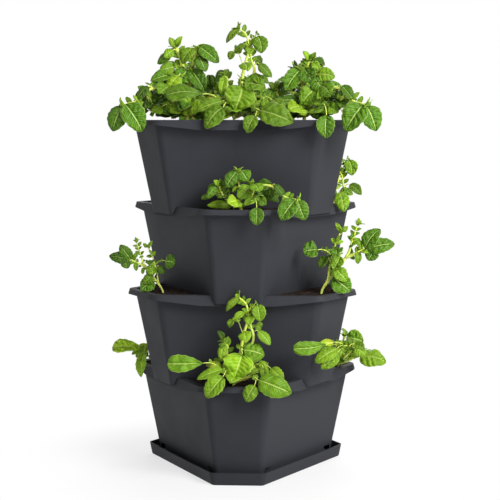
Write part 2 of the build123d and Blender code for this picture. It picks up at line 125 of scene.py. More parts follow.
TALL_LEAVES = [
    ((43, 10, 32), (58, 51, 26), (130, 66, 0), 42, FRESH),
    ((43, 10, 32), (48, 53, 14), (30, 57, -22), 26, FRESH),
    ((-22, 8, 38), (-22, 51, 33), (-60, 58, -12), 34, FRESH),
    ((39, -4, 122), (54, 4, 128), (82, 12, 99), 18, FRESH),
    ((22, 2, 120), (24, 14, 128), (30, 46, 112), 24, PALE),
    ((37, -4, 136), (46, -10, 140), (60, -24, 130), 18, FRESH),
    ((33, 0, 156), (52, 4, 188), (60, 8, 151), 26, FRESH),
    ((33, 0, 157), (42, 2, 181), (57, 4, 163), 15, PALE),
    ((29, 0, 150), (22, 4, 171), (0, 8, 153), 13, PALE),
    ((21, 2, 117), (-3, 6, 155), (-11, 8, 137), 13, PALE),
    ((12, 2, 202), (10, 3, 204), (-18, 6, 174), 13, OLD),
    ((32, 0, 154), (36, 12, 160), (34, 38, 148), 18, PALE),
]
YOUNG_STEMS = [
    [(0, 0, 0), (0, 0, 12), (7, -1, 43), (16, -2, 78), (12, -2, 108), (-3, 0, 123)],
    [(0, 0, 8), (25, -4, 24), (22, -4, 58), (18, -2, 79)],
]
YOUNG_LEAVES = [
    ((0, 0, 11), (14, 90, 34), (24, 124, -8), 28, FRESH),
    ((0, 0, 10), (12, 16, 26), (46, 26, 28), 24, FRESH),
    ((7, -1, 42), (8, 12, 50), (4, 40, 42), 22, PALE),
    ((24, -4, 42), (39, 2, 48), (67, 8, 24), 20, FRESH),
    ((18, -2, 76), (37, 2, 108), (45, 6, 71), 26, FRESH),
    ((17, -2, 77), (27, 0, 101), (42, 2, 83), 15, PALE),
    ((14, -2, 70), (7, 2, 91), (-13, 6, 76), 13, PALE),
    ((15, -2, 74), (10, -12, 82), (0, -30, 74), 18, PALE),
    ((-3, 0, 122), (-5, 1, 123), (-24, 4, 98), 13, OLD),
]
BUSHY_STEMS = [
    [(0, 0, 0), (0, 0, 12), (-4, -8, 52), (-6, -6, 86)],
    [(0, 0, 10), (22, 0, 28), (23, 2, 58)],
    [(0, 0, 10), (-36, -18, 30), (-50, -20, 54)],
]
BUSHY_LEAVES = [
    ((-6, -6, 84), (-8, -4, 90), (-32, 6, 54), 24, DEEP),
    ((-6, -6, 85), (0, -4, 91), (15, 6, 68), 26, DEEP),
    ((-4, -8, 50), (-6, -20, 58), (-14, -44, 48), 26, DEEP),
    ((23, 2, 57), (20, 6, 57), (-5, 16, 31), 26, FRESH),
    ((23, 2, 55), (30, 14, 62), (44, 44, 48), 26, FRESH),
    ((-50, -20, 53), (-54, -18, 55), (-76, -10, 28), 16, DEEP),
    ((-47, -19, 48), (-47, -18, 57), (-62, -18, 70), 10, PALE),
    ((0, 0, 8), (-20, -20, 13), (-77, -14, 15), 18, OLD),
    ((-34, -17, 29), (-70, -22, 36), (-92, -28, 28), 11, FRESH),
    ((0, 0, 11), (-8, 18, 26), (-26, 42, 22), 24, OLD),
    ((0, 0, 10), (6, 16, 17), (-10, 26, 15), 10, OLD),
    ((22, 0, 28), (32, 16, 27), (8, 26, 17), 14, PALE),
    ((22, 0, 27), (42, 18, 27), (58, 26, 18), 18, FRESH),
    ((22, 0, 28), (36, -14, 36), (58, -36, 30), 26, DEEP),
]
BRANCH_STEM = [[(22, 0, 28), (34, 8, 56), (70, 24, 58), (98, 36, 36), (124, 46, 30)]]
BRANCH_LEAVES = [
    ((34, 8, 55), (40, 10, 58), (70, 16, 63), 22, DEEP),
    ((70, 24, 58), (77, 30, 62), (99, 37, 35), 16, DEEP),
    ((34, 8, 54), (50, 4, 44), (86, 8, 24), 14, DEEP),
    ((124, 46, 30), (122, 51, 30), (90, 57, -14), 34, DEEP),
    ((123, 46, 30), (128, 51, 27), (144, 57, -14), 28, DEEP),
]
SHORT_BRANCH_STEM = [[(22, 0, 28), (31, 8, 54), (58, 24, 58), (80, 36, 38), (102, 46, 30)]]
SHORT_BRANCH_LEAVES = [
    ((31, 8, 53), (37, 10, 57), (62, 16, 64), 22, DEEP),
    ((58, 24, 58), (64, 30, 62), (84, 37, 38), 16, DEEP),
    ((31, 8, 52), (46, 4, 44), (78, 8, 26), 14, DEEP),
    ((102, 46, 30), (100, 51, 30), (70, 57, -14), 34, DEEP),
    ((101, 46, 30), (106, 51, 27), (122, 57, -14), 28, DEEP),
]
TIP_STEM = [[(-4, -8, 50), (4, -8, 86), (8, -6, 104)]]
TIP_LEAVES = [
    ((8, -6, 103), (7, -4, 107), (-2, 2, 122), 9, PALE),
    ((8, -6, 103), (11, -4, 106), (20, 2, 120), 9, PALE),
    ((7, -6, 100), (14, 0, 102), (26, 6, 92), 12, FRESH),
    ((5, -8, 90), (22, 2, 82), (52, 10, 78), 20, FRESH),
    ((4, -8, 84), (16, 6, 76), (32, 14, 54), 22, DEEP),
]
CROWN_STEMS = [
    [(-4, -8, 50), (8, -8, 96), (18, -6, 128)],
    [(-6, -6, 84), (-16, -8, 122)],
]
CROWN_LEAVES = [
    ((18, -6, 127), (17, -4, 131), (8, 2, 148), 10, PALE),
    ((18, -6, 127), (21, -4, 130), (30, 2, 146), 10, PALE),
    ((16, -6, 122), (24, 0, 124), (38, 6, 112), 14, FRESH),
    ((-16, -8, 121), (-22, -4, 130), (-56, 6, 104), 22, DEEP),
    ((-16, -8, 120), (-10, -2, 128), (8, 6, 102), 20, FRESH),
    ((-14, -8, 116), (-20, 2, 114), (-34, 10, 88), 20, DEEP),
    ((9, -8, 98), (22, -2, 96), (46, 6, 90), 20, FRESH),
    ((7, -8, 92), (26, 2, 82), (62, 10, 72), 20, DEEP),
    ((4, -8, 82), (14, 6, 80), (30, 14, 58), 22, OLD),
]
HANGING_LEAF = [((22, 0, 26), (38, 54, 12), (38, 58, -26), 26, DEEP)]
LEGGY_STEMS = [
    [(0, 0, 0), (0, 0, 10), (13, 0, 37), (17, 1, 69), (24, 2, 97), (40, 4, 143)],
    [(6, 0, 22), (55, -6, 87), (66, -6, 115), (74, -6, 139), (81, -6, 160)],
    [(55, -6, 86), (76, 0, 96), (98, 4, 108)],
]
LEGGY_LEAVES = [
    ((23, 2, 92), (-10, 20, 106), (-44, 26, 102), 36, DEEP),
    ((17, 1, 75), (10, 8, 89), (-6, 10, 64), 18, DEEP),
    ((16, 1, 66), (12, -12, 76), (-4, -34, 70), 24, DEEP),
    ((40, 4, 142), (42, 6, 150), (30, 8, 168), 9, PALE),
    ((38, 4, 138), (48, 7, 147), (58, 9, 160), 9, PALE),
    ((36, 3, 133), (40, 10, 138), (30, 14, 124), 8, PALE),
    ((24, 2, 96), (42, 8, 90), (26, 16, 60), 25, FRESH),
    ((25, 2, 99), (30, 18, 106), (34, 52, 96), 26, DEEP),
    ((17, 1, 68), (30, 10, 60), (58, 18, 34), 27, FRESH),
    ((13, 0, 37), (26, 10, 42), (66, 18, 12), 38, DEEP),
    ((12, 0, 36), (18, -14, 46), (30, -42, 38), 28, FRESH),
    ((55, -6, 87), (60, -18, 94), (72, -44, 86), 24, DEEP),
    ((98, 4, 108), (98, 4, 109), (131, 8, 154), 30, DEEP),
    ((97, 4, 107), (104, 6, 108), (165, 12, 121), 30, DEEP),
    ((96, 4, 107), (118, 8, 106), (106, 14, 82), 26, DEEP),
    ((74, -6, 136), (80, -2, 128), (90, 0, 110), 11, FRESH),
    ((86, 2, 102), (82, 4, 100), (82, 6, 73), 13, FRESH),
    ((81, -6, 159), (81, -6, 160), (84, -4, 178), 7, PALE),
]
LOW_STEMS = MAIN_STEMS + RIGHT_STEM
BUSH_STEMS = BUSHY_STEMS + BRANCH_STEM
BUSH_LEAVES = BUSHY_LEAVES + BRANCH_LEAVES
TOP_STEMS = BUSHY_STEMS + SHORT_BRANCH_STEM
TOP_LEAVES = BUSHY_LEAVES + SHORT_BRANCH_LEAVES
FORMS = {
    "low_reaching": (
        LOW_STEMS + REACHING_STEM,
        MAIN_LEAVES + RIGHT_LEAVES + SPREAD_RIGHT + REACHING_LEAVES + CREEPING_LEAVES,
    ),
    "low_hanging": (MAIN_STEMS, MAIN_LEAVES + LEFT_LEAVES + SPREAD_LEFT + RIM_LEAVES),
    "tall": (LOW_STEMS + TALL_STEMS, MAIN_LEAVES + LEFT_LEAVES + RIGHT_LEAVES + STRAY_LEAF + TALL_LEAVES),
    "young": (YOUNG_STEMS, YOUNG_LEAVES),
    "leggy": (LEGGY_STEMS, LEGGY_LEAVES),
    "bushy": (BUSH_STEMS, BUSH_LEAVES),
    "bushy_hanging": (BUSH_STEMS, BUSH_LEAVES + HANGING_LEAF),
    "bushy_small": (BUSHY_STEMS + TIP_STEM, BUSHY_LEAVES + TIP_LEAVES),
    "bushy_tip": (TOP_STEMS + TIP_STEM, TOP_LEAVES + HANGING_LEAF + TIP_LEAVES),
    "bushy_crown": (TOP_STEMS + CROWN_STEMS, TOP_LEAVES + CROWN_LEAVES),
}

# Distance from the axis at which a stem stands inside a corner or a long side, in millimetres
CORNER_REACH = 230.39
LONG_REACH = 163.5
# Each plant: tier, form, place (direction from the axis, distance that way, distance to the
# right of it), turn about Z, size, and -1 where it is mirrored
PLANTS = {
    "plant_1_front": (1, "tall", (-90, CORNER_REACH, 8), 0, 1, 1),
    "plant_1_right": (1, "low_reaching", (30, CORNER_REACH - 15.5, 85), 0, 0.88, 1),
    "plant_1_left": (1, "low_hanging", (150, CORNER_REACH, -24), -20, 0.8, 1),
    "plant_2_right": (2, "leggy", (-30, CORNER_REACH - 4, 16), 0, 1, 1),
    "plant_2_left": (2, "leggy", (210, CORNER_REACH - 10, -19), 0, 0.74, -1),
    "plant_2_back": (2, "leggy", (90, CORNER_REACH, 20), 180, 1, 1),
    "plant_3_front": (3, "bushy_hanging", (-90, CORNER_REACH, -7), 0, 1, 1),
    "plant_3_right": (3, "young", (30, CORNER_REACH - 8, 45), 0, 1, 1),
    "plant_top_centre": (TIERS, "tall", (-90, LONG_REACH, 11), 0, 1.03, 1),
    "plant_top_right": (TIERS, "bushy_tip", (-90, LONG_REACH - 24, -146), 0, 1.32, 1),
    "plant_top_left": (TIERS, "bushy_crown", (-90, LONG_REACH - 30, 122), 0, 1.32, -1),
    "plant_top_rear_right": (TIERS, "bushy_small", (30, LONG_REACH - 30, 0), 10, 1.2, 1),
    "plant_top_rear_left": (TIERS, "bushy_small", (150, LONG_REACH - 30, -18), -10, 1.2, -1),
    "plant_top_back": (TIERS, "bushy", (90, CORNER_REACH - 8, 0), 180, 1.2, 1),
}
# How light the leaves of a plant are, where they differ from the rest: plant_top_centre's are a darker
# tone, and plant_1_left's are painted lighter, a painted light where the tower keeps the key light off
# them
PLANT_TONE_AND_PAINTED_LIGHT = {"plant_1_left": 1.6, "plant_top_centre": 0.75}

# Stems: radius in millimetres, how much it narrows from point to point, and depth of the root
STEM_RADIUS = 4
STEM_TAPER = 0.82
ROOT_DEPTH = 0.006
# Stalks: radius, what every stalk has of it and what each millimetre of a leaf's width adds, how
# it narrows to the leaf, and how far before the leaf and how far up its bend is
STALK_RADIUS = 1.1
STALK_GROWTH = (0.7, 0.012)
STALK_TAPER = (1.15, 0.75)
STALK_BEND = (0.4, 0.1)
STALK_STEPS = 8
# A stalk from this length carries pairs of leaflets, at these shares of it
LONG_STALK = 0.018
STALK_PAIRS = (0.45, 0.72)

# Leaves: where they face, how much wider they are than in the solids, how far they roll aside,
# and how low over the soil the tip of a hanging one is
LEAF_FACING = (0, 1, 0.5)
LEAF_BREADTH = 1.3
ROLL = 0.3
HANGING_ROLL = 0.06
HANGING_TIP = 0.012
# Smaller leaves between the listed ones: their number over that of the listed ones in a bushy and
# in any other plant, the lowest tip, the farthest out, and their lengths
FILLER_SHARE = (2.4, 0.4)
FILLER_LOWEST = 16
FILLER_OUT = 50
FILLER_LENGTH = (14, 30)
# How far back they grow: at least, at most, and at most in the top tier
FILLER_NEAR = 4
FILLER_BACK = (14, 45)
FILLER_BREADTH = (0.55, 0.72)
FILLER_TONES = (DEEP, DEEP, DEEP, FRESH, PALE)
# Low leaves in the top tier, round a plant's foot and under its branch: how far they reach, how
# high their tips are and how much higher their bases, and their breadth
LOW_LEAVES = 14
LOW_FOOT = (0, 0, 10)
LOW_REACH = (18, 62)
BRANCH_FOOT = (62, 12, 40)
BRANCH_REACH = (18, 40)
LOW_TIP = (7, 30)
LOW_BASE = (4, 12)
LOW_BREADTH = (0.5, 0.7)
LOW_WIDEST = 28
LOW_TONES = (DEEP, DEEP, FRESH, OLD)
# Leaflets in pairs on stalks and up the stems, and unfolding ones round a stem's end
LEAFLET_LENGTH = (0.006, 0.011)
LEAFLET_BREADTH = 0.62
STEM_LEAFLET_LENGTH = (0.012, 0.02)
STEM_PAIRS = (0.62, 0.78, 0.9)
TIP_LEAFLETS = 8
TIP_LENGTH = (0.01, 0.02)
TIP_BREADTH = 0.5
TIP_TURNS = 2.4
TIP_JITTER = 0.4
TIP_LEAN = (0.3, 1.4)

# Leaf surface: rows along and across a leaflet, a small leaf and a large one, the widths from
# which the next is taken, and the side veins that puff it up
LEAF_ROWS = ((9, 6), (18, 10), (32, 16))
LEAF_STEPS = (11, 20)
SIDE_VEINS = 6.5
VEIN_SLANT = 1.6
PUFF = 0.06
# How a leaf swells from its base and narrows to its point, and its least width over the full one
EGG = (0.48, 0.68)
SPOON = (0.95, 0.45)
LEAST_WIDTH = 0.03
# Waves along a leaf's edge, their height over its width, and where any wave starts
EDGE_WAVES = 5
EDGE_WAVE = 0.035
WAVE_START = (0, 6)
# How far a leaf arches, droops at its tip and sways aside, over its length
ARCH = (0.06, 0.15)
DROOP = (0.02, 0.09)
SWAY = (-0.05, 0.05)
# Waves that crinkle a leaf, their turns along and across it, and their height
CRINKLES = 4
CRINKLE_ALONG = (2.0, 5.5)
CRINKLE_ACROSS = (-2.2, 2.2)
CRINKLE = 0.018
# Ripples along each half of a leaf and their height over its width
RIPPLES = (1.2, 2.2)
RIPPLE = (0.02, 0.07)
# How far the halves of a flat leaf and of a curled one fold up along the midrib
FLAT = (-0.22, 0.38)
CURLED = (-0.5, 0.9)
# Attribute for the tone and the light of a leaf, whose light carries the painted light on plant_1_left,
# the width from which it counts as large, and the light of smaller and of larger leaves
TONE = "leaf_tone"
TONE_SPREAD = 0.08
LARGE_LEAF = 0.03
SMALL_LIGHT = (0.55, 1.2)
LARGE_LIGHT = (0.85, 1.2)
# Where the parts of a leaf begin and end, from 0 at its midrib to 1 at its edge
MIDRIB = (0.02, 0.08)
VEIN_FADES = (0.55, 1.0)
EDGE = (0.86, 1.0)
OFF_MIDRIB = (0.05, 0.35)
OFF_EDGE = (0.75, 1.0)
# The same for a side vein, from 0 midway between two of them to 0.5 on its line
VEIN_LINE = (0.42, 0.5)
# Tones between which a leaf turns from deep to fresh green, and to yellow
GREENING = (0.0, 0.55)
YELLOWING = (0.45, 1.0)
# How strongly veins show on the face and the underside, and edge, the painted highlight on the panels,
# mottling and streaks
VEIN_SHARE = (0.5, 0.7)
EDGE_SHARE = 0.25
PAINTED_HIGHLIGHT_SHARE = 0.4
MOTTLE_SHARE = 0.4
STREAK_SHARE = 0.35
PALE_UNDERSIDE = 0.28

# How light plain, mottled and grained plastic are, and how strongly its grain shows
PLASTIC_LIFTS = (1.0, 1.16, 1.5)
PLASTIC_GRAIN = 0.16
# Soil: depth of its crust, grid size in an open corner and on the top tier, and least rise
CRUST_DEPTH = 0.006
CRUST_VOXEL = (0.0024, 0.0036)
LEAST_RISE = 0.0006
# Lumps and specks per metre, and how much of the rise is even, lumpy and specked
LUMPS = 60
SPECKS = 260
RISE_SHARES = (0.45, 0.5, 0.22)
# Clods: least size and what is added at most, how deep they sink in, how they are stretched and
# how they are dented
CLOD_SIZE = (0.0012, 0.0032)
CLOD_SUNK = 0.2
CLOD_ACROSS = (0.7, 1.3)
CLOD_UPWARDS = (0.55, 0.9)
CLOD_DENTS = 1.3
CLOD_DENT = 0.35

# Lights: place and size
LIGHTS = {
    "key": ((2.3, -2.5, 2.5), 1.9),
    "fill": ((-1.6, -3.0, 1.9), 2.4),
    "back": ((0.3, 2.4, 3.0), 2.0),
}
WHITE = (1, 1, 1, 1)
# Floor: size, distances between which it turns white, and how white it is near the tower
FLOOR_SIZE = 40
FLOOR_FADES = (0.28, 0.6)
FLOOR_WHITE = 0.7
# Heights between which the even light goes from the ground's to the sky's
HORIZON = (-0.5, 0.8)


# Properties

def colour_of(name, about, value):
    """Colour property with a plain default."""
    return bpy.props.FloatVectorProperty(
        name=name, description=about, subtype="COLOR", size=3, min=0, max=1, default=value
    )


def number_of(name, about, value, **kind):
    """Number property, plain or of a kind."""
    return bpy.props.FloatProperty(name=name, description=about, default=value, **kind)


def length_of(name, about, value):
    """Length property in metres."""
    return number_of(name, about, value, unit="LENGTH", min=0)


def power_of(name, about, value):
    """Power of a lamp in watts."""
    return number_of(name, about, value, unit="POWER", min=0)


class TowerPlanterSettings(bpy.types.PropertyGroup):
    colour: colour_of("Plastic", "Colour of the boxes and the tray", (0.028, 0.029, 0.034))
    grain: length_of("Grain", "Size of the fine satin grain", 0.0011)


class TowerSoilSettings(bpy.types.PropertyGroup):
    dark: colour_of("Moist soil", "Colour in the hollows", (0.010, 0.006, 0.005))
    light: colour_of("Dry crumbs", "Colour of the crumbs on top", (0.060, 0.034, 0.024))
    heap: length_of("Heap", "Height of the crumbly surface over the level soil", 0.007)
    clods: bpy.props.IntProperty(
        name="Clods", description="Loose clods in each tier", min=0, max=400, default=120
    )


class TowerPlantSettings(bpy.types.PropertyGroup):
    deep: colour_of("Deep green", "Colour of leaves in their prime", (0.021, 0.102, 0.003))
    fresh: colour_of("Fresh green", "Colour of young leaves", (0.270, 0.475, 0.013))
    turned: colour_of("Turning", "Colour of leaves that turn yellow", (0.58, 0.46, 0.03))
    vein: colour_of("Veins", "Colour of veins and leaf edges", (0.70, 0.82, 0.20))
    stem: colour_of("Stems", "Colour of stems and stalks", (0.78, 0.82, 0.10))
    thickness: length_of("Leaf thickness", "Thickness of a leaf", 0.0007)


class TowerStageSettings(bpy.types.PropertyGroup):
    distance: length_of("Camera distance", "From the axis of the tower, on the level", 3.359)
    height: length_of("Camera height", "Above the ground", 0.816)
    turn: number_of("Camera turn", "To the right of the front", 0.0571, subtype="ANGLE")
    pitch: number_of("Camera pitch", "Downwards", 0.0894, subtype="ANGLE")
    aside: length_of("Camera aim", "How far to the right of the axis the camera aims", 0.0153)
    lens: number_of("Lens", "Focal length", 101.3, subtype="DISTANCE_CAMERA")
    floor: colour_of("Floor", "Colour of the floor", (0.9, 0.9, 0.9))
    key: power_of("Key light", "Light from the front right", 200)
    fill: power_of("Fill light", "Light from the front left", 7)
    back: power_of("Back light", "Light from behind and above", 60)
    sky: number_of("Sky", "Even light from above", 0.26)
    ground: number_of("Ground light", "Even light from below", 0.1)


class TowerSettings(bpy.types.PropertyGroup):
    planters: bpy.props.PointerProperty(type=TowerPlanterSettings)
    soil: bpy.props.PointerProperty(type=TowerSoilSettings)
    plants: bpy.props.PointerProperty(type=TowerPlantSettings)
    stage: bpy.props.PointerProperty(type=TowerStageSettings)


# Modelling helpers

def activate(*objects):
    """Selects these objects alone and makes the first one active."""
    bpy.ops.object.select_all(action="DESELECT")
    for obj in objects:
        obj.select_set(True)
    bpy.context.view_layer.objects.active = objects[0]


def join(name, objects):
    """One object of several, under a new name."""
    activate(*objects)
    if len(objects) > 1:
        bpy.ops.object.join()
    objects[0].name = name
    objects[0].data.name = name
    return objects[0]


def apply_modifier(obj, kind, **values):
    """Adds a modifier with these values and applies it."""
    activate(obj)
    modifier = obj.modifiers.new(kind.title(), kind)
    for key, value in values.items():
        setattr(modifier, key, value)
    bpy.ops.object.modifier_apply(modifier=modifier.name)


def cover(obj, *materials):
    """Gives an object these materials alone."""
    obj.data.materials.clear()
    for material in materials:
        obj.data.materials.append(material)


def points_of(mesh):
    """Vertices of a mesh as an array."""
    flat = np.empty(len(mesh.vertices) * 3)
    mesh.vertices.foreach_get("co", flat)
    return flat.reshape(-1, 3)


def set_points(mesh, points):
    """Moves the vertices of a mesh."""
    mesh.vertices.foreach_set("co", np.asarray(points, np.float32).ravel())
    mesh.update()


def smoothstep(low, high, value):
    """Soft step from 0 to 1."""
    t = np.clip((value - low) / (high - low), 0, 1)
    return t * t * (3 - 2 * t)


# Shader helpers

def new_material(name):
    """Material with one Principled shader, with its node tree emptied of all else."""
    material = bpy.data.materials.new(name)
    material.use_nodes = True
    tree = material.node_tree
    tree.nodes.clear()
    shader = tree.nodes.new("ShaderNodeBsdfPrincipled")
    output = tree.nodes.new("ShaderNodeOutputMaterial")
    tree.links.new(shader.outputs["BSDF"], output.inputs["Surface"])
    return material, tree, shader


def node(tree, kind, inputs=None, **settings):
    """Node with settings, and with values or links for its inputs by name or number."""
    made = tree.nodes.new(kind)
    for key, value in settings.items():
        setattr(made, key, value)
    for key, value in (inputs or {}).items():
        if isinstance(value, bpy.types.NodeSocket):
            tree.links.new(value, made.inputs[key])
        else:
            made.inputs[key].default_value = value
    return made


def math_node(tree, operation, *values, clamp=False):
    """Output of a Math node."""
    made = node(tree, "ShaderNodeMath", dict(enumerate(values)), operation=operation, use_clamp=clamp)
    return made.outputs[0]


def step_node(tree, value, low, high, start=0.0, end=1.0):
    """Output of a smooth Map Range node."""
    made = node(
        tree,
        "ShaderNodeMapRange",
        {"Value": value, "From Min": low, "From Max": high, "To Min": start, "To Max": end},
        interpolation_type="SMOOTHSTEP",
    )
    return made.outputs["Result"]


def mix_node(tree, share, first, second, blend="MIX"):
    """Output of a colour Mix node."""
    values = {0: share, 6: first, 7: second}
    return node(tree, "ShaderNodeMix", values, data_type="RGBA", blend_type=blend).outputs[2]


def rise_node(tree, value, amount, base):
    """Output of a Math node: a base that rises by an amount with a value from 0 to 1."""
    return math_node(tree, "MULTIPLY_ADD", value, amount, base)


def noise_node(tree, vector, scale, detail=3.0, roughness=0.5):
    """Output of a Noise texture."""
    made = node(
        tree,
        "ShaderNodeTexNoise",
        {"Vector": vector, "Scale": scale, "Detail": detail, "Roughness": roughness},
    )
    return made.outputs["Fac"]


def rgba(colour):
    """Colour with its alpha."""
    return (*colour, 1.0)


def new_group(name, vector, values, outputs):
    """Shader node group that takes a vector and values and puts out values, all by name."""
    group = bpy.data.node_groups.new(name, "ShaderNodeTree")
    group.interface.new_socket(vector, in_out="INPUT", socket_type="NodeSocketVector")
    for names, direction in ((values, "INPUT"), (outputs, "OUTPUT")):
        for socket in names:
            group.interface.new_socket(socket, in_out=direction, socket_type="NodeSocketFloat")
    start = group.nodes.new("NodeGroupInput")
    end = group.nodes.new("NodeGroupOutput")
    return group, start.outputs, end.inputs


def grain_group():
    """Fine grain and slow mottling, for anything moulded, earthy or grown."""
    name = "Grain and mottling"
    if name in bpy.data.node_groups:
        return bpy.data.node_groups[name]
    group, given, made = new_group(
        name, "Vector", ("Grain scale", "Mottle scale"), ("Grain", "Mottling")
    )
    fine = noise_node(group, given["Vector"], given["Grain scale"], 2.0, 0.55)
    slow = noise_node(group, given["Vector"], given["Mottle scale"], 4.0, 0.6)
    group.links.new(step_node(group, fine, 0.3, 0.7), made["Grain"])
    group.links.new(step_node(group, slow, 0.3, 0.7), made["Mottling"])
    return group


def grain(tree, grain_scale, mottle_scale):
    """Grain and mottling of a material, on Object coordinates."""
    place = node(tree, "ShaderNodeTexCoord").outputs["Object"]
    values = {"Vector": place, "Grain scale": grain_scale, "Mottle scale": mottle_scale}
    made = node(tree, "ShaderNodeGroup", values, node_tree=grain_group())
    return made.outputs["Grain"], made.outputs["Mottling"]


def finish_shader(tree, shader, colour, rough, gloss, relief, strength, depth):
    """Colour, roughness, gloss and bump of a shader."""
    made = node(tree, "ShaderNodeBump", {"Height": relief, "Strength": strength, "Distance": depth})
    links = {"Base Color": colour, "Roughness": rough, "Normal": made.outputs["Normal"]}
    for name, value in links.items():
        tree.links.new(value, shader.inputs[name])
    shader.inputs["Specular IOR Level"].default_value = gloss


def plastic_material(name, settings, tone):
    """Anthracite moulded plastic with a satin grain."""
    material, tree, shader = new_material(name)
    fine, slow = grain(tree, grain_scale=1 / settings.grain, mottle_scale=9.0)
    plain, mottled, grained = [
        rgba([channel * tone * lift for channel in settings.colour]) for lift in PLASTIC_LIFTS
    ]
    colour = mix_node(tree, slow, plain, mottled)
    colour = mix_node(tree, math_node(tree, "MULTIPLY", fine, PLASTIC_GRAIN), colour, grained)
    rough = rise_node(tree, slow, amount=0.1, base=0.5)
    rough = rise_node(tree, fine, amount=0.08, base=rough)
    finish_shader(tree, shader, colour, rough, gloss=0.12, relief=fine, strength=0.12, depth=0.0004)
    return material


def soil_material(settings):
    """Dark crumbly potting soil."""
    material, tree, shader = new_material("potting_soil")
    fine, slow = grain(tree, grain_scale=420.0, mottle_scale=60.0)
    crumb = math_node(tree, "MULTIPLY", fine, slow)
    colour = mix_node(tree, crumb, rgba(settings.dark), rgba(settings.light))
    rough = rise_node(tree, slow, amount=0.12, base=0.82)
    finish_shader(tree, shader, colour, rough, gloss=0.15, relief=fine, strength=0.7, depth=0.0015)
    return material


def vein_group():
    """Midrib, side veins and edge of a leaf, from its own map: along it and across it."""
    group, given, made = new_group("Leaf veins", "Map", (), ("Veins", "Edge", "Panels"))
    parts = node(group, "ShaderNodeSeparateXYZ", {0: given["Map"]})
    along, across = parts.outputs[0], parts.outputs[1]
    aside = math_node(group, "ABSOLUTE", math_node(group, "MULTIPLY_ADD", across, 2.0, -1.0))
    rib = step_node(group, aside, *MIDRIB, start=1.0, end=0.0)
    phase = math_node(group, "MULTIPLY", along, SIDE_VEINS)
    phase = math_node(group, "MULTIPLY_ADD", aside, -VEIN_SLANT, phase)
    apart = math_node(group, "ABSOLUTE", math_node(group, "ADD", math_node(group, "FRACT", phase), -0.5))
    lines = step_node(group, apart, *VEIN_LINE)
    fading = step_node(group, aside, *VEIN_FADES, start=0.75, end=0.1)
    veins = math_node(group, "MAXIMUM", rib, math_node(group, "MULTIPLY", lines, fading))
    group.links.new(veins, made["Veins"])
    group.links.new(step_node(group, aside, *EDGE), made["Edge"])
    # Middles of the panels between the veins, for their bump and for a painted highlight
    between = step_node(group, apart, 0.0, 0.5, start=1.0, end=0.0)
    off_rib = step_node(group, aside, *OFF_MIDRIB)
    off_edge = step_node(group, aside, *OFF_EDGE, start=1.0, end=0.2)
    clear = math_node(group, "MULTIPLY", off_rib, off_edge)
    group.links.new(math_node(group, "MULTIPLY", between, clear), made["Panels"])
    return group


def leaf_material(name, settings, veins, underside):
    """Potato leaf, from deep green to yellow by its tone, with pale veins and a pale edge."""
    material, tree, shader = new_material(name)
    leaf_map = node(tree, "ShaderNodeUVMap").outputs["UV"]
    lines = node(tree, "ShaderNodeGroup", {"Map": leaf_map}, node_tree=veins).outputs
    fine, slow = grain(tree, grain_scale=900.0, mottle_scale=55.0)
    tone = node(tree, "ShaderNodeAttribute", attribute_name=TONE, attribute_type="GEOMETRY")
    parts = node(tree, "ShaderNodeSeparateColor", {0: tone.outputs["Color"]})
    age, light = parts.outputs[0], parts.outputs[1]
    deep, fresh, vein = rgba(settings.deep), rgba(settings.fresh), rgba(settings.vein)
    colour = mix_node(tree, step_node(tree, age, *GREENING), deep, fresh)
    patchy = math_node(tree, "MULTIPLY", slow, step_node(tree, age, *YELLOWING))
    colour = mix_node(tree, patchy, colour, rgba(settings.turned))
    # Painted highlight: the middles of the panels between the veins are mixed towards fresh green, as
    # where puffy panels catch the light
    painted_panel_highlight = math_node(tree, "MULTIPLY", lines["Panels"], PAINTED_HIGHLIGHT_SHARE)
    colour = mix_node(tree, painted_panel_highlight, colour, fresh)
    mottled = math_node(tree, "MULTIPLY", slow, MOTTLE_SHARE)
    colour = mix_node(tree, mottled, colour, deep)
    pale = math_node(tree, "MULTIPLY", lines["Veins"], VEIN_SHARE[underside])
    pale = math_node(tree, "MULTIPLY_ADD", lines["Edge"], EDGE_SHARE, pale, clamp=True)
    colour = mix_node(tree, pale, colour, vein)
    if underside:
        colour = mix_node(tree, PALE_UNDERSIDE, colour, vein)
    # Multiplies by the leaf's brightness: its random tone, and painted light on plant_1_left
    colour = mix_node(tree, 1.0, colour, light, "MULTIPLY")
    rough = rise_node(tree, slow, amount=0.15, base=0.28)
    relief = rise_node(tree, lines["Panels"], amount=4.0, base=fine)
    finish_shader(tree, shader, colour, rough, gloss=0.15, relief=relief, strength=0.45, depth=0.0005)
    return material


def stem_material(settings):
    """Pale green stem with darker streaks."""
    material, tree, shader = new_material("potato_stem")
    fine, slow = grain(tree, grain_scale=700.0, mottle_scale=38.0)
    colour = mix_node(tree, slow, rgba(settings.stem), rgba(settings.vein))
    streak = math_node(tree, "MULTIPLY", fine, STREAK_SHARE)
    colour = mix_node(tree, streak, colour, rgba(settings.fresh))
    rough = rise_node(tree, fine, amount=0.15, base=0.4)
    finish_shader(tree, shader, colour, rough, gloss=0.4, relief=fine, strength=0.25, depth=0.0004)
    return material


# Soil

